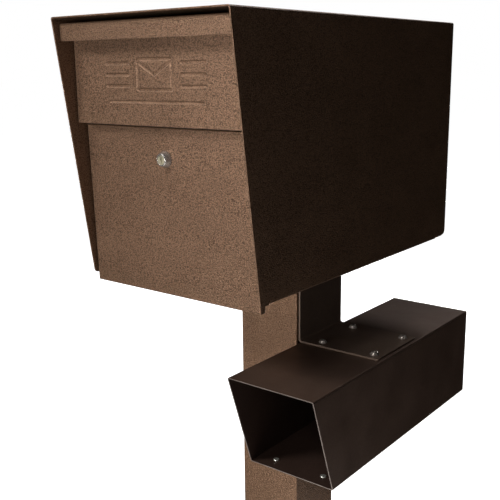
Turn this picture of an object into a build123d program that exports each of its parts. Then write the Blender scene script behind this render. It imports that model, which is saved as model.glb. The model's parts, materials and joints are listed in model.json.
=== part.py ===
from build123d import *
import os
from math import cos, radians, sin, tan

# Locking kerbside mailbox on a square steel post, with a newspaper holder hung from its side.
# Millimetres. +Z is up, the doors face -Y and the newspaper holder is on the +X side.
# The origin is the middle of the post's foot, on the ground.

# ---------------------------------------------------------------- driving dimensions
# Post
post_size = 101.6
post_wall = 3.0
post_corner = 2.0
post_height = 686.0
post_plate_t = 6.35
foot_size = 203.2
foot_hole_pitch = 152.4
foot_hole_r = 7.15
bolt_pitch = 63.5
bolt_r = 4.0

# Mailbox body
box_width = 286.0
box_depth = 541.0
box_height = 334.0
shell_t = 1.9
liner_t = 1.5
bend_r = 3.2
side_slope = 47.5        # how far each side's front edge runs back from roof to floor
roof_overhang = 303.5    # roof's front edge ahead of the post's middle

# Doors
door_t = 1.5
door_gap = 1.4           # between each door's edge and the side beside it
mail_setback = 32.0      # mail door's face behind the roof's front edge
mail_bottom = 203.6      # heights here are above the sides' lower edges
mail_top = 326.8
lip_setback = 10.8
lip_bottom = 305.0
relief_depth = 1.2
relief_draft = 45.0       # degrees that the relief's walls lean
access_drop = 9.8        # the access door hangs this far below the sides
access_top = 201.6
access_setback = 51.6    # access door's lower edge behind the roof's front edge
access_tilt = 1.6        # degrees that its top leans forward
stop_setback = 61.5      # front of the door jambs
return_gap = 1.0         # between the doors' side returns and the jambs

# Hinges
knuckle_r = 2.5
pin_r = 1.2
pin_play = 0.05
leaf_t = 1.0
leaf_height = 14.0
knuckle_pitch = 28.0
knuckle_count = 9
knuckle_gap = 0.5
mail_pin_rise = 3.9      # each pin above its door's lower edge
access_pin_rise = 2.9

# Lock
lock_height = 163.3
bezel_r = 10.4
barrel_r = 9.5
barrel_flat = 8.0
barrel_length = 19.0
plug_r = 5.9
plug_play = 0.08
cam_length = 30.0
cam_t = 2.5
cam_hub_r = 8.5
cam_tip_r = 6.0

# Newspaper holder and its bracket
bracket_t = 2.6
bracket_depth = 112.0
bracket_middle = 9.2     # middle of the bracket behind the post's middle
bracket_gap = 0.8        # between the post and the bracket's plate
flange_reach = 128.0
bracket_bends = [3.4, 3.0]
holder_t = 1.5
holder_width = 133.5
holder_height = 138.0
holder_top = 566.2
holder_front = -213.3    # top of the opening
holder_slope = 47.4
holder_screw_pitch = 84.0
holder_screw_in = 30.4   # first screws from the bracket's plate
holder_hole_r = 3.3
rivet_r = 2.4            # the pair of rivets in the holder's floor, near its mouth
rivet_play = 0.1
rivet_pitch = 77.0
rivet_setback = 68.4     # behind the top of the opening

# ---------------------------------------------------------------- worked-out places
base_z = post_height + bracket_t - shell_t
roof_z = base_z + box_height
front_y = -roof_overhang
rear_y = front_y + box_depth
half_width = box_width / 2
inside_x = half_width - shell_t
door_x = inside_x - door_gap
floor_z = base_z + shell_t
ceiling_z = roof_z - shell_t
stop_y = front_y + stop_setback
return_y = stop_y - return_gap

mail_y = front_y + mail_setback
mail_foot_z = base_z + mail_bottom
mail_pin = (mail_y + door_t + knuckle_r, mail_foot_z + mail_pin_rise)

tilt = radians(access_tilt)
access_foot = (front_y + access_setback, base_z - access_drop)
access_back_y = access_foot[0] + door_t / cos(tilt)
access_pin_y = access_back_y - access_pin_rise * tan(tilt) + knuckle_r / cos(tilt)
access_pin = (access_pin_y, access_foot[1] + access_pin_rise)
outward = (0, -cos(tilt), -sin(tilt))
lock_rise = (lock_height + access_drop) / cos(tilt)
lock_y = access_foot[0] - lock_rise * sin(tilt)
lock_z = base_z + lock_height
lock_face = Plane(origin=(0, lock_y, lock_z), x_dir=(1, 0, 0), z_dir=outward)
lock_axis = Axis((0, lock_y, lock_z), outward)
lock_section = Plane(origin=(0, lock_y, lock_z), x_dir=(1, 0, 0), z_dir=(0, sin(tilt), -cos(tilt)))

plate_x = post_size / 2 + bracket_gap + bracket_t
flange_x = plate_x + flange_reach
holder_x = plate_x
holder_rear = rear_y
holder_floor = holder_top - holder_height
screw_x = plate_x + holder_screw_in + holder_screw_pitch / 2
rivets_middle = (holder_x + holder_width / 2, holder_front + rivet_setback)


# ---------------------------------------------------------------- shared shapes
def bent_sheet(corners, radius, thickness, side):
    """Section of a sheet bent along a line of corners, thickened to one side of it.

    The radius is one for all the corners, or a list with one for each."""
    with BuildSketch(Plane.XY) as section:
        with BuildLine():
            FilletPolyline(*corners, radius=radius)
            offset(amount=thickness, side=side)
        make_face()
    return section.sketch


def outline(*corners):
    """Flat shape with straight sides between the corners."""
    with BuildSketch(Plane.XY) as flat:
        with BuildLine():
            Polyline(*corners, close=True)
        make_face()
    return flat.sketch


def write(name, built):
    """Labels a finished piece and writes its file."""
    built.part.label = name
    export_step(built.part, f"parts/{name}.step")


def knuckle_places(first):
    """Middles along X of every second knuckle, from the first or the second."""
    start = -(knuckle_count - 1) / 2 * knuckle_pitch
    return [start + index * knuckle_pitch for index in range(first, knuckle_count, 2)]


def hinge_leaf(seat, own_first):
    """Leaf of a piano hinge. The seat plane holds the pin's axis and faces what the leaf is fixed to."""
    length = knuckle_count * knuckle_pitch
    centre = seat.origin
    with BuildPart() as leaf:
        with BuildSketch(seat.offset(knuckle_r - leaf_t)):
            with Locations((0, leaf_height / 2)):
                Rectangle(length - knuckle_gap, leaf_height)
        extrude(amount=leaf_t)
        with BuildSketch(seat.offset(knuckle_r - leaf_t)):
            with Locations(*[(x, 0) for x in knuckle_places(1 - own_first)]):
                Rectangle(knuckle_pitch + knuckle_gap, 2 * (knuckle_r + knuckle_gap))
        extrude(amount=leaf_t, mode=Mode.SUBTRACT)
        for x in knuckle_places(own_first):
            with BuildSketch(Plane.YZ.offset(x - (knuckle_pitch - knuckle_gap) / 2)):
                with Locations((centre.Y, centre.Z)):
                    Circle(knuckle_r)
            extrude(amount=knuckle_pitch - knuckle_gap)
        with BuildSketch(Plane.YZ.offset(-length)):
            with Locations((centre.Y, centre.Z)):
                Circle(pin_r + pin_play)
        extrude(amount=2 * length, mode=Mode.SUBTRACT)
    return leaf


def hinge_pin(place):
    """Pin through all the knuckles, with rounded ends."""
    length = knuckle_count * knuckle_pitch + 2
    with BuildPart() as pin:
        with BuildSketch(Plane.YZ.offset(-length / 2)):
            with Locations(place):
                Circle(pin_r)
        extrude(amount=length)
        chamfer(pin.edges().filter_by(GeomType.CIRCLE), length=0.4)
    return pin


# ---------------------------------------------------------------- post
def make_post():
    tube_bottom = post_plate_t
    tube_top = post_height - post_plate_t
    foot_corner = 8.0
    foot_edge = 1.0
    with BuildPart() as post_tube:
        with BuildSketch(Plane.XY.offset(tube_bottom)):
            RectangleRounded(post_size, post_size, post_corner)
            inner = post_size - 2 * post_wall
            Rectangle(inner, inner, mode=Mode.SUBTRACT)
        extrude(amount=tube_top - tube_bottom)
    write("post_tube", post_tube)

    with BuildPart() as post_top_plate:
        with BuildSketch(Plane.XY.offset(tube_top)):
            RectangleRounded(post_size, post_size, post_corner)
            with GridLocations(bolt_pitch, bolt_pitch, 2, 2):
                Circle(bolt_r, mode=Mode.SUBTRACT)
        extrude(amount=post_plate_t)
    write("post_top_plate", post_top_plate)

    with BuildPart() as post_base_plate:
        with BuildSketch(Plane.XY):
            RectangleRounded(foot_size, foot_size, foot_corner)
            with GridLocations(foot_hole_pitch, foot_hole_pitch, 2, 2):
                Circle(foot_hole_r, mode=Mode.SUBTRACT)
        extrude(amount=post_plate_t)
        chamfer(post_base_plate.faces().sort_by(Axis.Z)[-1].outer_wire().edges(), length=foot_edge)
    write("post_base_plate", post_base_plate)


# ---------------------------------------------------------------- mailbox body
def make_outer_shell():
    """Roof and sides in one bent sheet, with in-turned flanges that carry the floor."""
    flange_width = 17.0
    flange_rise = 6.0
    flange_front = front_y + 66.0
    flange_rear = rear_y - 32.0
    tab_z = base_z + 3.0
    bend_relief = 2.0
    rear_corner = 8.0
    front_corner = 5.5
    notch_z = base_z + flange_rise
    wrap = [
        (-half_width, base_z),
        (-half_width, roof_z),
        (half_width, roof_z),
        (half_width, base_z),
    ]
    rear_foot = (rear_y, tab_z)
    front_foot = (front_y + side_slope, base_z)
    with BuildPart() as outer_shell:
        with BuildSketch(Plane.XZ.offset(-rear_y)):
            add(bent_sheet(wrap, bend_r, shell_t, Side.RIGHT))
        extrude(amount=box_depth)
        with BuildSketch(Plane.YZ) as side_shape:
            with BuildLine():
                Polyline(
                    (front_y, roof_z),
                    (rear_y, roof_z),
                    rear_foot,
                    (flange_rear + bend_relief, tab_z),
                    (flange_rear + bend_relief, notch_z),
                    (flange_front - bend_relief, notch_z),
                    (flange_front - bend_relief, base_z),
                    front_foot,
                    close=True,
                )
            make_face()
            corners = side_shape.vertices()
            fillet(corners.sort_by_distance((*rear_foot, 0))[0], radius=rear_corner)
            fillet(side_shape.vertices().sort_by_distance((*front_foot, 0))[0], radius=front_corner)
        extrude(amount=half_width + 1, both=True, mode=Mode.INTERSECT)
        for hand in (-1, 1):
            foot = [
                (hand * half_width, notch_z),
                (hand * half_width, base_z),
                (hand * (half_width - flange_width), base_z),
            ]
            inner = Side.RIGHT if hand > 0 else Side.LEFT
            with BuildSketch(Plane.XZ.offset(-flange_rear)):
                add(bent_sheet(foot, bend_r, shell_t, inner))
            extrude(amount=flange_rear - flange_front)
    write("outer_shell", outer_shell)


def make_rear_panel():
    """Shallow pan that closes the back, its flanges turned forward."""
    inset = 6.0
    depth = 18.0
    outer_corner = 2.0
    bottom = floor_z - liner_t
    pan_rear = rear_y - inset
    middle = (bottom + ceiling_z) / 2
    with BuildPart() as rear_panel:
        with BuildSketch(Plane.XZ.offset(-pan_rear)):
            with Locations((0, middle)):
                RectangleRounded(2 * inside_x, ceiling_z - bottom, outer_corner)
        extrude(amount=depth)
        with BuildSketch(Plane.XZ.offset(-pan_rear + liner_t)):
            with Locations((0, middle)):
                RectangleRounded(
                    2 * (inside_x - liner_t), ceiling_z - bottom - 2 * liner_t, outer_corner - liner_t
                )
        extrude(amount=depth, mode=Mode.SUBTRACT)
    write("rear_panel", rear_panel)
    return pan_rear - liner_t


def make_floor(floor_rear):
    """Floor pan with side flanges, a front lip and four bolt holes over the post."""
    tongue_x = 130.0
    lip_height = 16.0
    wall_height = 22.0
    tray_bend = 2.2
    lip_y = access_pin[0] + knuckle_r
    body_front = stop_y + 1.0
    wall_front = stop_y + 31.0
    wall_rear = rear_y - 26.0
    front_x = inside_x - bend_r + shell_t - 0.1
    rear_x = inside_x - 2 * liner_t
    top = floor_z + liner_t
    tray = [
        (-inside_x, floor_z + wall_height),
        (-inside_x, floor_z),
        (inside_x, floor_z),
        (inside_x, floor_z + wall_height),
    ]
    with BuildPart() as floor_pan:
        with BuildSketch(Plane.XZ.offset(-wall_rear)):
            add(bent_sheet(tray, tray_bend, liner_t, Side.LEFT))
        extrude(amount=wall_rear - wall_front)
        with BuildSketch(Plane.XY.offset(floor_z)):
            for half, start, end in (
                (tongue_x, lip_y, body_front),
                (front_x, body_front, wall_front),
                (rear_x, wall_rear, floor_rear),
            ):
                with Locations((0, (start + end) / 2)):
                    Rectangle(2 * half, end - start)
        extrude(amount=liner_t)
        with BuildSketch(Plane.XY.offset(top)):
            with Locations((0, lip_y + liner_t / 2)):
                Rectangle(2 * tongue_x, liner_t)
        extrude(amount=lip_height)
        with BuildSketch(Plane.XY.offset(floor_z)):
            with GridLocations(bolt_pitch, bolt_pitch, 2, 2):
                Circle(bolt_r + 0.5)
        extrude(amount=liner_t, mode=Mode.SUBTRACT)
    write("floor_pan", floor_pan)


def make_jambs():
    """Angle uprights inside the sides, whose front legs are the doors' stops."""
    front_leg = 20.0
    side_leg = 28.0
    top_gap = 1.5
    jamb_bend = 2.2
    bottom = floor_z + liner_t
    for name, hand in (("left_jamb", -1), ("right_jamb", 1)):
        corners = [
            (hand * inside_x, stop_y + side_leg),
            (hand * inside_x, stop_y),
            (hand * (inside_x - front_leg), stop_y),
        ]
        inner = Side.RIGHT if hand > 0 else Side.LEFT
        with BuildPart() as jamb:
            with BuildSketch(Plane.XY.offset(bottom)):
                add(bent_sheet(corners, jamb_bend, liner_t, inner))
            extrude(amount=ceiling_z - top_gap - bottom)
        write(name, jamb)


def make_divider_rail():
    """Channel across the opening between the doors: mail hinge in front, lock strike behind."""
    rail_x = 134.0
    rail_bend = 2.2
    rail_top = base_z + 223.0
    front_leg_z = mail_pin[1] - 1.0
    rear_leg_z = base_z + 186.0
    corners = [
        (mail_pin[0] + knuckle_r, front_leg_z),
        (mail_pin[0] + knuckle_r, rail_top),
        (stop_y, rail_top),
        (stop_y, rear_leg_z),
    ]
    strike_size = (56.0, 16.0, 2.5)
    strike_z = rear_leg_z + 1.5 + strike_size[1] / 2
    rivet_x = 22.0
    rivet_r = 2.1
    rivet_head_r = 3.4
    rivet_head_t = 1.2
    with BuildPart() as divider_rail:
        with BuildSketch(Plane.YZ):
            add(bent_sheet(corners, rail_bend, liner_t, Side.RIGHT))
        extrude(amount=rail_x, both=True)
        with BuildSketch(Plane.XZ.offset(-stop_y)):
            with Locations((-rivet_x, strike_z), (rivet_x, strike_z)):
                Circle(rivet_r)
        extrude(amount=2 * liner_t, mode=Mode.SUBTRACT)
    write("divider_rail", divider_rail)

    with BuildPart() as strike_plate:
        with BuildSketch(Plane.XZ.offset(-stop_y)):
            with Locations((0, strike_z)):
                RectangleRounded(strike_size[0], strike_size[1], strike_size[2])
            with Locations((-rivet_x, strike_z), (rivet_x, strike_z)):
                Circle(rivet_r, mode=Mode.SUBTRACT)
        extrude(amount=-strike_size[2])
    write("strike_plate", strike_plate)

    grip = liner_t + strike_size[2]
    with BuildPart() as strike_rivets:
        for x in (-rivet_x, rivet_x):
            for start, length, radius in (
                (-liner_t - rivet_head_t, rivet_head_t, rivet_head_r),
                (-liner_t, grip, rivet_r),
                (strike_size[2], rivet_head_t, rivet_head_r),
            ):
                with BuildSketch(Plane.XZ.offset(-stop_y - start)):
                    with Locations((x, strike_z)):
                        Circle(radius)
                extrude(amount=-length)
    write("strike_rivets", strike_rivets)


def make_mail_guides():
    """Sloping shelf under the slot and the plate that hangs behind it against fishing."""
    guide_x = inside_x - liner_t - 0.2
    guide_bend = 2.5
    shelf = [
        (stop_y + 1.8, base_z + 222.0),
        (front_y + 200.0, base_z + 200.0),
        (front_y + 206.0, base_z + 188.0),
    ]
    with BuildPart() as mail_shelf:
        with BuildSketch(Plane.YZ):
            add(bent_sheet(shelf, guide_bend, liner_t, Side.RIGHT))
        extrude(amount=guide_x, both=True)
    write("mail_shelf", mail_shelf)

    baffle = [
        (front_y + 112.0, ceiling_z),
        (front_y + 128.0, ceiling_z),
        (front_y + 158.0, base_z + 264.0),
        (front_y + 150.0, base_z + 258.0),
    ]
    with BuildPart() as mail_baffle:
        with BuildSketch(Plane.YZ):
            add(bent_sheet(baffle, guide_bend, liner_t, Side.RIGHT))
        extrude(amount=guide_x, both=True)
    write("mail_baffle", mail_baffle)


def make_bumpers():
    """Rubber buttons on the jambs where the doors' side returns close."""
    thick = return_gap - 0.1
    bumper_r = 2.7
    with BuildPart() as door_bumpers:
        with BuildSketch(Plane.XZ.offset(-stop_y)):
            for hand in (-1, 1):
                for height in (60.0, 150.0, 244.0, 300.0):
                    with Locations((hand * (door_x - 1.6), base_z + height)):
                        Circle(bumper_r)
        extrude(amount=thick)
    write("door_bumpers", door_bumpers)


# ---------------------------------------------------------------- mail door
def make_mail_door():
    """Pull-down door: flat panel, a ledge forward at the top and a lip turned down to pull by."""
    back_y = mail_y + door_t
    lip_y = front_y + lip_setback
    top_z = base_z + mail_top
    lip_foot_z = base_z + lip_bottom
    wing_foot_z = mail_foot_z + 1.5
    wing_top = base_z + 316.0
    wing_cut = 14.0
    panel_bend = 2.6
    lip_corner = 4.0
    panel = [(back_y, mail_foot_z), (back_y, top_z), (lip_y, top_z), (lip_y, lip_foot_z)]
    with BuildPart() as mail_door:
        with BuildSketch(Plane.YZ):
            add(bent_sheet(panel, panel_bend, door_t, Side.LEFT))
        extrude(amount=door_x, both=True)
        lip_corners = [
            edge
            for edge in mail_door.edges().filter_by(Axis.Y)
            if edge.center().Y < lip_y + door_t and edge.center().Z < lip_foot_z + 0.1
        ]
        fillet(lip_corners, radius=lip_corner)
        for start in (-door_x, door_x - door_t):
            with BuildSketch(Plane.YZ.offset(start)):
                add(
                    outline(
                        (back_y, wing_foot_z),
                        (back_y, wing_top),
                        (return_y - wing_cut, wing_top),
                        (return_y, wing_top - wing_cut),
                        (return_y, wing_foot_z),
                    )
                )
            extrude(amount=door_t)
        with BuildSketch(Plane.XZ.offset(-mail_y)):
            add(envelope_relief())
        extrude(amount=-relief_depth, taper=relief_draft, mode=Mode.SUBTRACT)
        with BuildSketch(Plane.XZ.offset(-back_y)):
            add(envelope_relief())
        extrude(amount=-relief_depth, taper=relief_draft)
    write("mail_door", mail_door)


def envelope_relief():
    """Plain envelope with three short bars on each side and one long bar below, pressed inwards."""
    middle = base_z + 264.0
    envelope = (60.0, 40.0)
    envelope_corner = 3.0
    stroke = 4.6
    flap_drop = 21.0
    bar_length = 42.0
    bar_pitch = 13.5
    bar_x = 62.0
    long_bar = (156.0, 4.0)
    long_bar_drop = 32.0
    corner = (envelope[0] / 2 - 0.5, middle + envelope[1] / 2 - 0.5)
    with BuildSketch(Plane.XY) as relief:
        with Locations((0, middle)):
            RectangleRounded(envelope[0], envelope[1], envelope_corner)
            RectangleRounded(
                envelope[0] - 2 * stroke, envelope[1] - 2 * stroke, 1.0, mode=Mode.SUBTRACT
            )
        with BuildLine():
            Polyline(
                (-corner[0], corner[1]),
                (0, corner[1] - flap_drop + stroke),
                (corner[0], corner[1]),
                (corner[0], corner[1] - 1.3 * stroke),
                (0, corner[1] - flap_drop - 0.3 * stroke),
                (-corner[0], corner[1] - 1.3 * stroke),
                close=True,
            )
        make_face()
        for hand in (-1, 1):
            for row in (-1, 0, 1):
                with Locations((hand * bar_x, middle + row * bar_pitch)):
                    SlotOverall(bar_length, stroke)
        with Locations((0, middle - long_bar_drop)):
            SlotOverall(*long_bar)
    return relief.sketch


# ---------------------------------------------------------------- access door
def make_access_door():
    """Lower door: a pan with side and top returns, hung on a piano hinge along its foot."""
    top_z = base_z + access_top
    top_y = access_foot[0] - (access_top + access_drop) * tan(tilt)
    back_top_y = top_y + door_t / cos(tilt)
    rail_front = stop_y - liner_t
    drop = 5.0
    rim_corner = 2.0
    with BuildPart() as access_door:
        with BuildSketch(Plane.YZ):
            add(outline(access_foot, (top_y, top_z), (return_y, top_z), (return_y, access_foot[1])))
        extrude(amount=door_x, both=True)
        front = access_door.faces().sort_by(Axis.Y)[0]
        rim = [edge for edge in front.edges() if edge.center().Z > access_foot[1] + 1]
        fillet(rim, radius=rim_corner)
        with BuildSketch(Plane.YZ):
            add(
                outline(
                    (access_back_y + drop * tan(tilt), access_foot[1] - drop),
                    (back_top_y + door_t * tan(tilt), top_z - door_t),
                    (return_y + drop, top_z - door_t),
                    (return_y + drop, access_foot[1] - drop),
                )
            )
        extrude(amount=door_x - door_t, both=True, mode=Mode.SUBTRACT)
        with BuildSketch(Plane.XY.offset(top_z - 2 * door_t)):
            with Locations((0, rail_front - 1.5 + drop)):
                Rectangle(2 * (door_x - door_t), 2 * drop)
        extrude(amount=2 * drop, mode=Mode.SUBTRACT)
        with BuildSketch(lock_face.offset(-drop)):
            Circle(barrel_r + 0.1)
            Rectangle(2 * (barrel_flat + 0.1), 3 * barrel_r, mode=Mode.INTERSECT)
        extrude(amount=2 * drop, mode=Mode.SUBTRACT)
    write("access_door", access_door)


# ---------------------------------------------------------------- hinges
def make_hinges():
    mail_seat = Plane(origin=(0, *mail_pin), x_dir=(1, 0, 0), z_dir=(0, -1, 0))
    mail_fixed_seat = Plane(origin=(0, *mail_pin), x_dir=(-1, 0, 0), z_dir=(0, 1, 0))
    access_seat = Plane(origin=(0, *access_pin), x_dir=(1, 0, 0), z_dir=outward)
    access_fixed_seat = Plane(origin=(0, *access_pin), x_dir=(-1, 0, 0), z_dir=(0, 1, 0))
    write("mail_hinge_door_leaf", hinge_leaf(mail_seat, 1))
    write("mail_hinge_fixed_leaf", hinge_leaf(mail_fixed_seat, 0))
    write("mail_hinge_pin", hinge_pin(mail_pin))
    write("access_hinge_door_leaf", hinge_leaf(access_seat, 1))
    write("access_hinge_fixed_leaf", hinge_leaf(access_fixed_seat, 0))
    write("access_hinge_pin", hinge_pin(access_pin))


# ---------------------------------------------------------------- lock
def make_lock():
    """Cam lock: tapered guard collar, flatted barrel, nut, keyed plug, cam and its screw."""
    bore = plug_r + plug_play
    collar_height = 8.8
    collar_rim = 1.2
    collar_top_r = 7.9
    collar_edge = 0.9
    nut_across = 24.0
    nut_t = 4.0
    keyway = (2.0, 6.4)
    keyway_depth = 7.0
    tail_square = 6.4
    tail_gap = 0.3
    with BuildPart() as lock_housing:
        with BuildSketch(lock_section):
            add(
                outline(
                    (bore, -barrel_length),
                    (barrel_r, -barrel_length),
                    (barrel_r, 0),
                    (bezel_r, 0),
                    (bezel_r, collar_rim),
                    (collar_top_r, collar_height - collar_edge),
                    (collar_top_r - collar_edge, collar_height),
                    (bore, collar_height),
                )
            )
        revolve(axis=lock_axis)
        with BuildSketch(lock_face):
            with GridLocations(2 * (barrel_flat + barrel_r), 1.0, 2, 1):
                Rectangle(2 * barrel_r, 3 * barrel_r)
        extrude(amount=-barrel_length, mode=Mode.SUBTRACT)
    write("lock_housing", lock_housing)

    with BuildPart() as lock_nut:
        with BuildSketch(lock_face.offset(-door_t)):
            RegularPolygon(nut_across / 2, 6, major_radius=False)
            Circle(barrel_r + 0.05, mode=Mode.SUBTRACT)
        extrude(amount=-nut_t)
    write("lock_nut", lock_nut)

    tail_start = -barrel_length - tail_gap
    with BuildPart() as lock_plug:
        with BuildSketch(lock_face.offset(tail_start)):
            Circle(plug_r)
        extrude(amount=collar_height - 0.8 - tail_start)
        chamfer(lock_plug.edges().group_by(Axis.Y)[0], length=0.5)
        with BuildSketch(lock_face.offset(collar_height)):
            Rectangle(*keyway)
        extrude(amount=-keyway_depth, mode=Mode.SUBTRACT)
        with BuildSketch(lock_face.offset(tail_start)):
            Rectangle(tail_square, tail_square)
        extrude(amount=-(cam_t - 0.1))
    write("lock_plug", lock_plug)

    with BuildPart() as lock_cam:
        with BuildSketch(lock_face.offset(tail_start)):
            Circle(cam_hub_r)
            with Locations((cam_length / 2, 0)):
                Rectangle(cam_length, 2 * cam_tip_r)
            with Locations((cam_length, 0)):
                Circle(cam_tip_r)
            Rectangle(tail_square + 0.1, tail_square + 0.1, mode=Mode.SUBTRACT)
        extrude(amount=-cam_t)
    write("lock_cam", lock_cam)

    head_r = 5.2
    head_t = 2.2
    cross = (1.1, 6.0)
    with BuildPart() as lock_cam_screw:
        with BuildSketch(lock_face.offset(tail_start - cam_t)):
            Circle(head_r)
        extrude(amount=-head_t)
        chamfer(lock_cam_screw.edges().group_by(Axis.Y)[-1], length=head_t / 3)
        with BuildSketch(lock_face.offset(tail_start - cam_t - head_t)):
            Rectangle(cross[0], cross[1])
            Rectangle(cross[1], cross[0])
        extrude(amount=cross[0], mode=Mode.SUBTRACT)
    write("lock_cam_screw", lock_cam_screw)


# ---------------------------------------------------------------- bolts to the post
def make_mounting_bolts():
    washer_t = 1.6
    washer_r = 8.5
    head_across = 13.0
    head_t = 5.3
    head_z = floor_z + liner_t + washer_t
    reach = head_z - (post_height - post_plate_t)
    with BuildPart() as mounting_washers:
        with BuildSketch(Plane.XY.offset(floor_z + liner_t)):
            with GridLocations(bolt_pitch, bolt_pitch, 2, 2):
                Circle(washer_r)
                Circle(bolt_r + 0.3, mode=Mode.SUBTRACT)
        extrude(amount=washer_t)
    write("mounting_washers", mounting_washers)

    with BuildPart() as mounting_bolts:
        with BuildSketch(Plane.XY.offset(head_z)):
            with GridLocations(bolt_pitch, bolt_pitch, 2, 2):
                RegularPolygon(head_across / 2, 6, major_radius=False)
        extrude(amount=head_t)
        chamfer(mounting_bolts.edges().group_by(Axis.Z)[-1], length=0.5)
        with BuildSketch(Plane.XY.offset(head_z)):
            with GridLocations(bolt_pitch, bolt_pitch, 2, 2):
                Circle(bolt_r - 0.05)
        extrude(amount=-reach)
    write("mounting_bolts", mounting_bolts)


# ---------------------------------------------------------------- newspaper holder
def make_bracket():
    """Z-shaped bracket: clamped on the post's top, down beside the post, out over the holder."""
    top_line = [
        (-post_size / 2, floor_z),
        (plate_x, floor_z),
        (plate_x, holder_top + bracket_t),
        (flange_x, holder_top + bracket_t),
    ]
    bracket_rear = bracket_middle + bracket_depth / 2
    bracket_corner = 3.0
    with BuildPart() as holder_bracket:
        with BuildSketch(Plane.XZ.offset(-bracket_rear)):
            add(bent_sheet(top_line, bracket_bends, bracket_t, Side.RIGHT))
        extrude(amount=bracket_depth)
        corner_posts = [
            edge
            for edge in holder_bracket.edges().filter_by(Axis.Z)
            if edge.length < bracket_t + 0.1
        ]
        fillet(corner_posts, radius=bracket_corner)
        with BuildSketch(Plane.XY.offset(floor_z)):
            with GridLocations(bolt_pitch, bolt_pitch, 2, 2):
                Circle(bolt_r + 0.5)
        extrude(amount=-2 * bracket_t, mode=Mode.SUBTRACT)
        with BuildSketch(Plane.XY.offset(holder_top)):
            with Locations((screw_x, bracket_middle)):
                with GridLocations(holder_screw_pitch, holder_screw_pitch, 2, 2):
                    Circle(holder_hole_r)
        extrude(amount=bracket_t, mode=Mode.SUBTRACT)
    write("holder_bracket", holder_bracket)


def make_holder():
    """Square newspaper tube from one sheet, its seam at the top right, its mouth cut aslant."""
    seam = 0.5
    outer_corner = 2.2
    margin = 5.0
    middle = (holder_x + holder_width / 2, holder_top - holder_height / 2)
    inner = (holder_width - 2 * holder_t, holder_height - 2 * holder_t)
    seam_x = holder_x + holder_width - holder_t
    with BuildPart() as newspaper_wrap:
        with BuildSketch(Plane.XZ.offset(-holder_rear)):
            with Locations(middle):
                RectangleRounded(holder_width, holder_height, outer_corner)
                RectangleRounded(*inner, outer_corner - holder_t, mode=Mode.SUBTRACT)
            with Locations((seam_x + holder_t / 2, holder_top - outer_corner - seam / 2)):
                Rectangle(2 * holder_t, seam, mode=Mode.SUBTRACT)
        extrude(amount=holder_rear - holder_front)
        with BuildSketch(Plane.YZ.offset(holder_x - margin)):
            add(
                outline(
                    (holder_front, holder_top),
                    (holder_front + holder_slope, holder_floor),
                    (holder_front + holder_slope, holder_floor - margin),
                    (holder_front - margin, holder_floor - margin),
                    (holder_front - margin, holder_top),
                )
            )
        extrude(amount=holder_width + 2 * margin, mode=Mode.SUBTRACT)
        with BuildSketch(Plane.XY.offset(holder_floor)):
            with Locations(rivets_middle):
                with GridLocations(rivet_pitch, 1.0, 2, 1):
                    Circle(rivet_r + rivet_play)
        extrude(amount=holder_t, mode=Mode.SUBTRACT)
        with BuildSketch(Plane.XY.offset(holder_top)):
            with Locations((screw_x, bracket_middle)):
                with GridLocations(holder_screw_pitch, holder_screw_pitch, 2, 2):
                    Circle(holder_hole_r)
        extrude(amount=-holder_t, mode=Mode.SUBTRACT)
    write("newspaper_wrap", newspaper_wrap)

    inset = 1.5
    cap_depth = 14.0
    cap_play = 0.1
    cap_width = inner[0] - 2 * cap_play
    cap_height = inner[1] - 2 * cap_play
    with BuildPart() as newspaper_rear_cap:
        with BuildSketch(Plane.XZ.offset(-holder_rear + inset)):
            with Locations(middle):
                RectangleRounded(cap_width, cap_height, holder_t)
        extrude(amount=cap_depth)
        with BuildSketch(Plane.XZ.offset(-holder_rear + inset + holder_t)):
            with Locations(middle):
                Rectangle(cap_width - 2 * holder_t, cap_height - 2 * holder_t)
        extrude(amount=cap_depth, mode=Mode.SUBTRACT)
    write("newspaper_rear_cap", newspaper_rear_cap)


def make_holder_rivets():
    """Blind rivets in the holder's floor: a domed head inside, the pulled tail underneath."""
    head_r = 4.4
    head_t = 1.7
    tail_r = 3.4
    tail_t = 2.6
    floor_top = holder_floor + holder_t
    with BuildPart() as holder_rivets:
        with BuildSketch(Plane.XY.offset(floor_top)):
            with Locations(rivets_middle):
                with GridLocations(rivet_pitch, 1.0, 2, 1):
                    Circle(head_r)
        extrude(amount=head_t)
        fillet(holder_rivets.edges().group_by(Axis.Z)[-1], radius=0.8 * head_t)
        with BuildSketch(Plane.XY.offset(floor_top)):
            with Locations(rivets_middle):
                with GridLocations(rivet_pitch, 1.0, 2, 1):
                    Circle(rivet_r)
        extrude(amount=-holder_t)
        with BuildSketch(Plane.XY.offset(holder_floor)):
            with Locations(rivets_middle):
                with GridLocations(rivet_pitch, 1.0, 2, 1):
                    Circle(tail_r)
        extrude(amount=-tail_t)
        fillet(holder_rivets.edges().group_by(Axis.Z)[0], radius=0.5 * tail_t)
    write("holder_rivets", holder_rivets)


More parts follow.
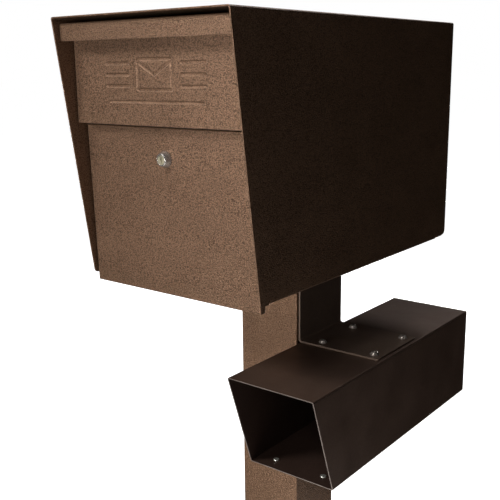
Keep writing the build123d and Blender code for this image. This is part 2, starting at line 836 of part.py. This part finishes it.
def make_bracket_screws():
    """Flanged button-head screws through the bracket and holder, with nuts inside the holder."""
    head_z = holder_top + bracket_t
    nut_z = holder_top - holder_t
    nut_t = 5.0
    nut_across = 10.0
    thread_r = 3.0
    thread_end = nut_z - nut_t - 1.5
    rim_r = 6.6
    rim_t = 0.9
    dome_r = 5.2
    dome_t = 3.2
    socket_across = 4.0
    with BuildPart() as bracket_screws:
        with BuildSketch(Plane.XY.offset(thread_end)):
            with Locations((screw_x, bracket_middle)):
                with GridLocations(holder_screw_pitch, holder_screw_pitch, 2, 2):
                    Circle(thread_r)
        extrude(amount=head_z - thread_end)
        with BuildSketch(Plane.XY.offset(head_z)):
            with Locations((screw_x, bracket_middle)):
                with GridLocations(holder_screw_pitch, holder_screw_pitch, 2, 2):
                    Circle(rim_r)
        extrude(amount=rim_t)
        with BuildSketch(Plane.XY.offset(head_z + rim_t)):
            with Locations((screw_x, bracket_middle)):
                with GridLocations(holder_screw_pitch, holder_screw_pitch, 2, 2):
                    Circle(dome_r)
        extrude(amount=dome_t)
        fillet(bracket_screws.edges().group_by(Axis.Z)[-1], radius=0.75 * dome_t)
        with BuildSketch(Plane.XY.offset(head_z + rim_t + dome_t)):
            with Locations((screw_x, bracket_middle)):
                with GridLocations(holder_screw_pitch, holder_screw_pitch, 2, 2):
                    RegularPolygon(socket_across / 2, 6, major_radius=False)
        extrude(amount=-0.75 * dome_t, mode=Mode.SUBTRACT)
    write("bracket_screws", bracket_screws)

    with BuildPart() as bracket_nuts:
        with BuildSketch(Plane.XY.offset(nut_z)):
            with Locations((screw_x, bracket_middle)):
                with GridLocations(holder_screw_pitch, holder_screw_pitch, 2, 2):
                    RegularPolygon(nut_across / 2, 6, major_radius=False)
                    Circle(thread_r + 0.05, mode=Mode.SUBTRACT)
        extrude(amount=-nut_t)
    write("bracket_nuts", bracket_nuts)


# ---------------------------------------------------------------- build and write
os.makedirs("parts", exist_ok=True)
make_post()
make_outer_shell()
make_floor(make_rear_panel())
make_jambs()
make_divider_rail()
make_mail_guides()
make_bumpers()
make_mail_door()
make_access_door()
make_hinges()
make_lock()
make_mounting_bolts()
make_bracket()
make_holder()
make_holder_rivets()
make_bracket_screws()
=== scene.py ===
import json
from math import pi, radians

import bmesh
import bpy
from mathutils import Matrix, Vector


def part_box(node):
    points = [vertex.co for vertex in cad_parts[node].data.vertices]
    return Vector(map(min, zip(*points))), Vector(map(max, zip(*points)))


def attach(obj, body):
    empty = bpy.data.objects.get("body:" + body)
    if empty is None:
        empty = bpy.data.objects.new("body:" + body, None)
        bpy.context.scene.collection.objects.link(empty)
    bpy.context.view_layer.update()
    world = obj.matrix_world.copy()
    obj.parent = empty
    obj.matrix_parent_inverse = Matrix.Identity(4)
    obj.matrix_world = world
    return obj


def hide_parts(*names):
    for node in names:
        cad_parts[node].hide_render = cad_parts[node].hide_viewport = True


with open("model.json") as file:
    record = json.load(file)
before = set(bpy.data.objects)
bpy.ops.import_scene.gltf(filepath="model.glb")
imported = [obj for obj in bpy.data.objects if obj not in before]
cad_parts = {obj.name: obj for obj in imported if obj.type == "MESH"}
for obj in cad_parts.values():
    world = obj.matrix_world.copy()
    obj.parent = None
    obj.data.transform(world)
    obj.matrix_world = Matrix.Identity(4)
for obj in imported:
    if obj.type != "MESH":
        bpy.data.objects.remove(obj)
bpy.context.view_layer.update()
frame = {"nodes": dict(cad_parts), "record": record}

# Locking kerbside mailbox on a square post with a newspaper holder beside it, in metres.
# The doors face -Y, the holder is on the +X side, and the post's foot stands on z = 0.

MM = 0.001


# ---------------------------------------------------------------- material helpers
class Paint:
    """A Principled material and short ways to add the nodes that feed it."""

    def __init__(self, name):
        self.material = bpy.data.materials.new(name)
        self.material.use_nodes = True
        self.nodes = self.material.node_tree.nodes
        self.links = self.material.node_tree.links
        self.shader = self.nodes["Principled BSDF"]
        self.place = self.nodes.new("ShaderNodeTexCoord").outputs["Object"]

    def set(self, **values):
        for name, value in values.items():
            self.shader.inputs[name.replace("_", " ")].default_value = value

    def add(self, kind, **values):
        node = self.nodes.new(kind)
        for name, value in values.items():
            setattr(node, name, value)
        return node

    def link(self, source, target):
        self.links.new(source, target)

    def stretched(self, scale):
        """Object coordinates scaled apart along X, Y and Z."""
        mapping = self.add("ShaderNodeMapping")
        mapping.inputs["Scale"].default_value = scale
        self.link(self.place, mapping.inputs["Vector"])
        return mapping.outputs["Vector"]

    def noise(self, scale, detail=2.0, roughness=0.5, vector=None):
        node = self.add("ShaderNodeTexNoise")
        node.inputs["Scale"].default_value = scale
        node.inputs["Detail"].default_value = detail
        node.inputs["Roughness"].default_value = roughness
        self.link(vector or self.place, node.inputs["Vector"])
        return node.outputs["Fac"]

    def cells(self, scale, smoothness, vector):
        """Distance to the middle of round cells that run softly into each other."""
        node = self.add("ShaderNodeTexVoronoi", feature="SMOOTH_F1")
        node.inputs["Scale"].default_value = scale
        node.inputs["Smoothness"].default_value = smoothness
        self.link(vector, node.inputs["Vector"])
        return node.outputs["Distance"]

    def wobbled(self, scale, amount):
        """Object coordinates pushed about by a noise, so that cells lose their straight sides."""
        node = self.add("ShaderNodeTexNoise")
        node.inputs["Scale"].default_value = scale
        self.link(self.place, node.inputs["Vector"])
        centred = self.add("ShaderNodeVectorMath", operation="SUBTRACT")
        self.link(node.outputs["Color"], centred.inputs[0])
        centred.inputs[1].default_value = (0.5, 0.5, 0.5)
        scaled = self.add("ShaderNodeVectorMath", operation="SCALE")
        self.link(centred.outputs["Vector"], scaled.inputs[0])
        scaled.inputs["Scale"].default_value = amount
        moved = self.add("ShaderNodeVectorMath", operation="ADD")
        self.link(self.place, moved.inputs[0])
        self.link(scaled.outputs["Vector"], moved.inputs[1])
        return moved.outputs["Vector"]

    def ramp(self, source, low, high, start=0.0, end=1.0):
        """A value stretched from low..high to start..end, and held there."""
        node = self.add("ShaderNodeMapRange", clamp=True)
        self.link(source, node.inputs["Value"])
        node.inputs["From Min"].default_value = low
        node.inputs["From Max"].default_value = high
        node.inputs["To Min"].default_value = start
        node.inputs["To Max"].default_value = end
        return node.outputs["Result"]

    def math(self, operation, first, second):
        node = self.add("ShaderNodeMath", operation=operation)
        for socket, value in zip(node.inputs, (first, second)):
            if isinstance(value, (int, float)):
                socket.default_value = value
            else:
                self.link(value, socket)
        return node.outputs["Value"]

    def blend(self, factor, first, second):
        """Two colours mixed by a value; each colour is a triple or a socket."""
        node = self.add("ShaderNodeMix", data_type="RGBA", blend_type="MIX")
        self.link(factor, node.inputs[0])
        for socket, value in ((node.inputs[6], first), (node.inputs[7], second)):
            if isinstance(value, tuple):
                socket.default_value = (*value, 1.0)
            else:
                self.link(value, socket)
        return node.outputs[2]

    def rubbed_and_highlit(self):
        """How much a face is an edge that hands and weather reach, as the piece's own attribute says; on
        thin cut rims this is also a painted highlight.
        """
        node = self.add("ShaderNodeAttribute", attribute_name="rub_and_highlight")
        return node.outputs["Fac"]

    def bump(self, height, strength, distance):
        node = self.add("ShaderNodeBump")
        node.inputs["Strength"].default_value = strength
        node.inputs["Distance"].default_value = distance
        self.link(height, node.inputs["Height"])
        return node.outputs["Normal"]

    def finish(self, colour, roughness, normal):
        self.link(colour, self.shader.inputs["Base Color"])
        self.link(roughness, self.shader.inputs["Roughness"])
        self.link(normal, self.shader.inputs["Normal"])
        return self.material


# ---------------------------------------------------------------- finishes
def hammered_bronze(name, crest, valley, grain=740.0, relief=0.50 * MM):
    """Hammertone powder coat: small round bumps in a web of darker veins, over bronze flake."""
    paint = Paint(name)
    around = paint.wobbled(grain * 0.6, 0.5 / grain)
    pebbles = paint.cells(grain, smoothness=0.6, vector=around)
    fine = paint.noise(grain * 1.7, detail=2.0, roughness=0.6)
    height = paint.math("ADD", paint.math("MULTIPLY", pebbles, -1.0), paint.math("MULTIPLY", fine, 0.5))
    crown = paint.ramp(height, -0.5, 0.1)
    tone = paint.blend(crown, valley, crest)
    slow = paint.ramp(paint.noise(5.0, detail=4.0), 0.3, 0.7, 0.93, 1.06)
    patch = paint.ramp(paint.noise(38.0, detail=5.0, roughness=0.65), 0.3, 0.7, 0.94, 1.05)
    lit = paint.add("ShaderNodeVectorMath", operation="SCALE")
    paint.link(tone, lit.inputs[0])
    paint.link(paint.math("MULTIPLY", slow, patch), lit.inputs["Scale"])
    worn_in = paint.ramp(paint.noise(70.0, detail=6.0, roughness=0.7), 0.38, 0.62)
    # Rubbed edges turn lighter as worn paint; on thin cut rims the lighter colour is also a painted
    # highlight along the rim.
    wear_and_highlight = paint.math("MULTIPLY", paint.math("MULTIPLY", paint.rubbed_and_highlit(), worn_in), 0.55)
    worn_and_highlit = tuple(min(1.0, channel * 1.55 + 0.03) for channel in crest)
    colour = paint.blend(wear_and_highlight, lit.outputs["Vector"], worn_and_highlit)
    roughness = paint.ramp(paint.noise(24.0, detail=5.0), 0.3, 0.7, 0.30, 0.42)
    normal = paint.bump(height, 1.0, relief)
    paint.set(Metallic=0.6, Specular_IOR_Level=0.3)
    return paint.finish(colour, roughness, normal)


def smooth_bronze(name, light, dark, worn_and_highlit=(0.30, 0.25, 0.22)):
    """Finer, darker powder coat with an orange-peel surface."""
    paint = Paint(name)
    peel = paint.noise(900.0, detail=3.0, roughness=0.55)
    broad = paint.noise(260.0, detail=2.0)
    height = paint.math("ADD", peel, broad)
    mottled = paint.ramp(paint.noise(9.0, detail=5.0, roughness=0.6), 0.3, 0.7)
    speckled = paint.ramp(paint.noise(620.0, detail=2.0), 0.35, 0.65)
    tone = paint.blend(mottled, dark, light)
    tone = paint.blend(paint.math("MULTIPLY", speckled, 0.35), tone, tuple(c * 1.5 for c in light))
    worn_in = paint.ramp(paint.noise(80.0, detail=6.0, roughness=0.7), 0.38, 0.62)
    thinned = paint.ramp(worn_in, 0.0, 1.0, 0.5, 0.9)
    # Rubbed edges turn lighter as worn paint; on thin cut rims the lighter colour is also a painted
    # highlight along the rim.
    wear_and_highlight = paint.math("MULTIPLY", paint.rubbed_and_highlit(), thinned)
    colour = paint.blend(wear_and_highlight, tone, worn_and_highlit)
    roughness = paint.ramp(paint.noise(20.0, detail=5.0), 0.3, 0.7, 0.40, 0.55)
    normal = paint.bump(height, 0.55, 0.12 * MM)
    paint.set(Metallic=0.55, Specular_IOR_Level=0.3)
    return paint.finish(colour, roughness, normal)


def brushed_metal(name, light, dark, metallic=1.0, smooth=0.22, rough=0.42, lines=0.03 * MM):
    """Bare or plated metal with fine drawing lines of the given depth and dull blotches."""
    along = (40.0, 1400.0, 1400.0)
    paint = Paint(name)
    drawn = paint.noise(1.0, detail=3.0, roughness=0.6, vector=paint.stretched(along))
    blotch = paint.ramp(paint.noise(120.0, detail=5.0, roughness=0.6), 0.3, 0.7)
    tone = paint.blend(blotch, dark, light)
    scuff = paint.ramp(paint.noise(420.0, detail=4.0), 0.55, 0.7)
    colour = paint.blend(paint.math("MULTIPLY", scuff, 0.4), tone, tuple(c * 0.6 for c in dark))
    roughness = paint.ramp(blotch, 0.0, 1.0, smooth, rough)
    normal = paint.bump(drawn, 0.25, lines)
    paint.set(Metallic=metallic)
    return paint.finish(colour, roughness, normal)


def rubber(name):
    """Matt black rubber with a fine grain and a little dust."""
    paint = Paint(name)
    grain = paint.noise(1500.0, detail=3.0)
    dusty = paint.ramp(paint.noise(90.0, detail=5.0), 0.35, 0.7)
    colour = paint.blend(dusty, (0.012, 0.012, 0.012), (0.05, 0.047, 0.044))
    roughness = paint.ramp(dusty, 0.0, 1.0, 0.6, 0.85)
    return paint.finish(colour, roughness, paint.bump(grain, 0.4, 0.05 * MM))


hammer_paint = hammered_bronze("hammered_bronze", (0.252, 0.146, 0.089), (0.082, 0.047, 0.028))
post_paint = hammered_bronze(
    "hammered_bronze_post", (0.310, 0.177, 0.105), (0.105, 0.059, 0.034), grain=680.0, relief=0.6 * MM
)
inner_paint = hammered_bronze("hammered_bronze_inside", (0.16, 0.096, 0.062), (0.07, 0.041, 0.026))
holder_paint = smooth_bronze("smooth_bronze", (0.118, 0.073, 0.053), (0.084, 0.051, 0.037))
# The holder's inside: a darker copy of its paint, which is painted shade inside the tube.
holder_inside_painted_shade = smooth_bronze("smooth_bronze_painted_shade", (0.062, 0.036, 0.027), (0.042, 0.024, 0.018))
# The bracket: the holder's paint made lighter. Part of the difference is painted light for the flange and
# plate, which the box above keeps from the top lamps.
bracket_painted_light = smooth_bronze("smooth_bronze_bracket_painted_light", (0.170, 0.118, 0.088), (0.128, 0.088, 0.065))
zinc = brushed_metal("zinc_plate", (0.58, 0.57, 0.52), (0.46, 0.45, 0.40), metallic=0.8)
chrome = brushed_metal(
    "polished_chrome",
    (0.62, 0.57, 0.52),
    (0.40, 0.36, 0.33),
    metallic=0.80,
    smooth=0.18,
    rough=0.28,
    lines=0.004 * MM,
)
plug_metal = brushed_metal(
    "nickel_plug",
    (0.70, 0.63, 0.44),
    (0.48, 0.43, 0.31),
    metallic=0.7,
    smooth=0.24,
    rough=0.34,
    lines=0.006 * MM,
)
screw_metal = brushed_metal(
    "dark_screw", (0.54, 0.48, 0.43), (0.26, 0.22, 0.19), metallic=0.7, smooth=0.20, rough=0.34
)
bumper_rubber = rubber("bumper_rubber")


# ---------------------------------------------------------------- mesh helpers
SMOOTH_UP_TO = radians(40.0)      # a sharper turn between faces shows as a crease
HARD_FROM = radians(32.0)         # an edge that turns more than this is rounded over
FLAT_WITHIN = radians(0.6)        # triangles this nearly level are one flat face
SAME_PLACE = 0.002 * MM           # corners this near each other are one corner
THIN_RIM = 1.6 * MM               # a face narrower than this may be a sheet's cut rim
RELIEF_RADIUS = 0.3 * MM
LIGHT_RUB = 0.35                  # a rounded edge
# A thin cut rim is lightened fully: edge wear, together with a painted highlight along the rim.
FULL_RUB_AND_HIGHLIGHT = 1.0                    # a cut rim


def finished_piece(bm, name, material, body):
    """Turns a bmesh into a piece that rides on a CAD body, shaded smooth but for sharp turns."""
    mesh = bpy.data.meshes.new(name)
    bm.to_mesh(mesh)
    bm.free()
    for face in mesh.polygons:
        face.use_smooth = True
    mesh.set_sharp_from_angle(angle=SMOOTH_UP_TO)
    mesh.materials.append(material)
    piece = bpy.data.objects.new(name, mesh)
    bpy.context.scene.collection.objects.link(piece)
    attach(piece, body)
    return piece


def node_facts(node):
    """The body a CAD node rides on and the record's material slot for it."""
    record = frame["record"]
    bodies = record["behaviour"]["bodies"]
    body = next(name for name, members in bodies.items() if node in members)
    slot = next(row["material_slot"] for row in record["subparts"] if row["node"] == node)
    return body, slot


def within(place, box):
    """Whether a place lies in the box given by its low and high corners."""
    return all(low <= value <= high for low, value, high in zip(box[0], place, box[1]))


def round_over(bm, edges, radius, segments, clamp=True):
    """Bevels the given edges and marks the new faces as lightly rubbed ones."""
    rounded = bmesh.ops.bevel(
        bm,
        geom=edges,
        offset=radius,
        offset_type="OFFSET",
        affect="EDGES",
        segments=segments,
        profile=0.5,
        material=-1,
        clamp_overlap=clamp,
    )
    rub_and_highlight = bm.faces.layers.float["rub_and_highlight"]
    for face in rounded["faces"]:
        face[rub_and_highlight] = LIGHT_RUB


def softened(node, name, material, radius, segments=2, pressed=None):
    """A CAD node's shape with whole flat faces and its hard edges rounded over.

    Edges inside the pressed box, given by its low and high corners, are a shallow relief's.
    """
    bm = bmesh.new()
    bm.from_mesh(frame["nodes"][node].data)
    bmesh.ops.remove_doubles(bm, verts=bm.verts, dist=SAME_PLACE)
    bmesh.ops.dissolve_limit(
        bm, angle_limit=FLAT_WITHIN, verts=bm.verts, edges=bm.edges, use_dissolve_boundaries=False
    )
    rub_and_highlight = bm.faces.layers.float.new("rub_and_highlight")
    hard = [
        edge for edge in bm.edges if len(edge.link_faces) == 2 and edge.calc_face_angle(0.0) > HARD_FROM
    ]
    hard_set = set(hard)
    for face in bm.faces:
        around = sum(edge.calc_length() for edge in face.edges)
        cut = sum(edge.calc_length() for edge in face.edges if edge in hard_set)
        # Thin cut rims get the full rub: edge wear, together with a painted highlight along the rim.
        if 2 * face.calc_area() / around < THIN_RIM and cut > 0.8 * around:
            face[rub_and_highlight] = FULL_RUB_AND_HIGHLIGHT
    in_relief = [
        edge for edge in hard if pressed and all(within(vert.co, pressed) for vert in edge.verts)
    ]
    relief_set = set(in_relief)
    outline = [edge for edge in hard if edge not in relief_set]
    if in_relief:
        round_over(bm, in_relief, RELIEF_RADIUS, 2, clamp=False)
        outline = [edge for edge in outline if edge.is_valid]
    round_over(bm, outline, radius, segments)
    body, slot = node_facts(node)
    piece = finished_piece(bm, name, material, body)
    weighted = piece.modifiers.new("weighted", "WEIGHTED_NORMAL")
    weighted.keep_sharp = True
    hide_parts(node)
    return piece


def paint_shade_inside(piece, material, skin):
    """Painted shade: a darker copy of the paint on faces deeper than the skin from the piece's sides, top
    and bottom.
    """
    low, high = piece_box(piece)
    piece.data.materials.append(material)
    for face in piece.data.polygons:
        centre = face.center
        if low.x + skin < centre.x < high.x - skin and low.z + skin < centre.z < high.z - skin:
            face.material_index = 1


def piece_box(piece):
    """A piece's own lowest and highest corners."""
    places = [vert.co for vert in piece.data.vertices]
    low = Vector([min(place[axis] for place in places) for axis in range(3)])
    high = Vector([max(place[axis] for place in places) for axis in range(3)])
    return low, high


def dress(material, *nodes):
    """Gives carried-over CAD nodes their finish."""
    for node in nodes:
        thing = frame["nodes"][node]
        thing.data.materials.clear()
        thing.data.materials.append(material)


# ---------------------------------------------------------------- pieces
def make_mailbox():
    softened("outer_shell", "shell", hammer_paint, 0.45 * MM)
    low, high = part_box("mail_door")
    half_width = 90 * MM
    above_hinge = 20 * MM
    below_ledge = 40 * MM
    around_relief = (
        (-half_width, low.y, low.z + above_hinge),
        (half_width, high.y, high.z - below_ledge),
    )
    softened("mail_door", "pull_down_door", hammer_paint, 0.35 * MM, pressed=around_relief)
    softened("access_door", "keyed_door", hammer_paint, 0.4 * MM)
    softened("rear_panel", "back_pan", hammer_paint, 0.4 * MM)
    dress(inner_paint, "floor_pan", "left_jamb", "right_jamb", "divider_rail", "mail_shelf", "mail_baffle")
    dress(zinc, "strike_plate", "strike_rivets", "mounting_bolts", "mounting_washers")
    dress(bumper_rubber, "door_bumpers")


def make_hinges():
    for door in ("mail", "access"):
        for part in ("fixed_leaf", "door_leaf", "pin"):
            dress(zinc, f"{door}_hinge_{part}")


def make_lock():
    softened("lock_housing", "lock_collar", chrome, 0.25 * MM, segments=3)
    softened("lock_plug", "lock_core", plug_metal, 0.12 * MM)
    dress(zinc, "lock_nut", "lock_cam", "lock_cam_screw")


def make_post():
    softened("post_tube", "post", post_paint, 0.3 * MM)
    softened("post_top_plate", "post_cap", post_paint, 0.4 * MM)
    softened("post_base_plate", "foot_plate", post_paint, 0.5 * MM)


def make_holder():
    softened("holder_bracket", "bracket", bracket_painted_light, 0.4 * MM)
    holder = softened("newspaper_wrap", "holder", holder_paint, 0.3 * MM)
    # The faces inside the tube take the painted shade.
    skin = 1.2 * MM
    paint_shade_inside(holder, holder_inside_painted_shade, skin)
    softened("newspaper_rear_cap", "holder_back", holder_paint, 0.3 * MM)
    softened("bracket_screws", "flange_screws", screw_metal, 0.15 * MM)
    softened("holder_rivets", "floor_rivets", zinc, 0.1 * MM)
    dress(zinc, "bracket_nuts")


make_mailbox()
make_hinges()
make_lock()
make_post()
make_holder()


# ---------------------------------------------------------------- studio
def make_floor():
    """A pale floor that glows white, like a light table, and throws no light on the object."""
    bm = bmesh.new()
    bmesh.ops.create_grid(bm, x_segments=1, y_segments=1, size=40.0)
    mesh = bpy.data.meshes.new("floor")
    bm.to_mesh(mesh)
    bm.free()
    paint = Paint("pale_floor")
    away = paint.add("ShaderNodeVectorMath", operation="LENGTH")
    paint.link(paint.place, away.inputs[0])
    glow = paint.ramp(away.outputs["Value"], 1.2, 4.0, 0.90, 1.0)
    paint.link(glow, paint.shader.inputs["Emission Strength"])
    grain = paint.ramp(paint.noise(3.0, detail=4.0), 0.3, 0.7, 0.85, 0.87)
    paint.link(grain, paint.shader.inputs["Base Color"])
    paint.set(Roughness=0.9, Emission_Color=(1.0, 1.0, 1.0, 1.0))
    mesh.materials.append(paint.material)
    floor = bpy.data.objects.new("floor", mesh)
    floor.visible_diffuse = False
    floor.visible_glossy = False
    bpy.context.scene.collection.objects.link(floor)


def make_light(name, place, aim, size, power):
    """A square white lamp of the given side, in metres, and power, in watts, that the camera doesn't see."""
    lamp = bpy.data.lights.new(name, "AREA")
    lamp.shape = "SQUARE"
    lamp.size = size
    lamp.energy = power
    thing = bpy.data.objects.new(name, lamp)
    thing.location = place
    thing.rotation_euler = (Vector(aim) - Vector(place)).to_track_quat("-Z", "Y").to_euler()
    thing.visible_camera = False
    bpy.context.scene.collection.objects.link(thing)


def make_world():
    """White behind the object; the lamps alone light it."""
    world = bpy.data.worlds.new("studio")
    world.use_nodes = True
    background = world.node_tree.nodes["Background"]
    background.inputs["Color"].default_value = (1.0, 1.0, 1.0, 1.0)
    background.inputs["Strength"].default_value = 1.0
    world.cycles_visibility.diffuse = False
    world.cycles_visibility.glossy = False
    bpy.context.scene.world = world


def make_camera():
    """Looks down at the doors' right-hand corner, from a little below the roof's height."""
    heading = radians(38.22)
    drop = radians(13.01)
    lean = radians(0.68)
    place = (0.6760, -0.9518, 0.9584)
    lens = bpy.data.cameras.new("camera")
    lens.sensor_width = 36.0
    lens.lens = 57.12
    camera = bpy.data.objects.new("camera", lens)
    turn = Matrix.Rotation(heading, 4, "Z") @ Matrix.Rotation(pi / 2 - drop, 4, "X")
    camera.matrix_world = Matrix.Translation(place) @ turn @ Matrix.Rotation(-lean, 4, "Z")
    bpy.context.scene.collection.objects.link(camera)
    bpy.context.scene.camera = camera


make_floor()
make_world()
make_light("key", (-1.2, -2.2, 2.6), (0.0, -0.25, 0.8), 0.7, 62.0)
make_light("high_right", (0.35, -2.4, 2.2), (0.0, -0.2, 0.8), 0.6, 10.0)
make_light("front_fill", (0.13, -1.6, 0.75), (0.0, -0.2, 0.75), 0.3, 8.0)
make_light("low_fill", (0.1, -2.9, 0.3), (0.0, -0.2, 0.5), 0.8, 40.0)
make_light("floor_bounce", (0.5, -0.4, 0.02), (0.5, -0.4, 1.0), 1.4, 5.5)
make_light("side_card", (3.0, -0.3, 1.3), (0.1, 0.0, 0.7), 1.0, 3.5)
make_light("top_fill", (-0.3, -0.6, 3.0), (0.0, -0.1, 0.8), 1.5, 22.0)
make_light("back_fill", (-0.4, 2.2, 2.6), (0.0, 0.0, 0.7), 0.8, 12.0)
make_light("back_low", (-0.45, 3.0, 0.42), (0.0, 0.2, 0.7), 0.5, 34.0)
make_light("left_low", (-3.0, 0.6, 0.42), (0.0, 0.0, 0.7), 0.5, 30.0)
bpy.context.scene.view_settings.view_transform = "Standard"
make_camera()
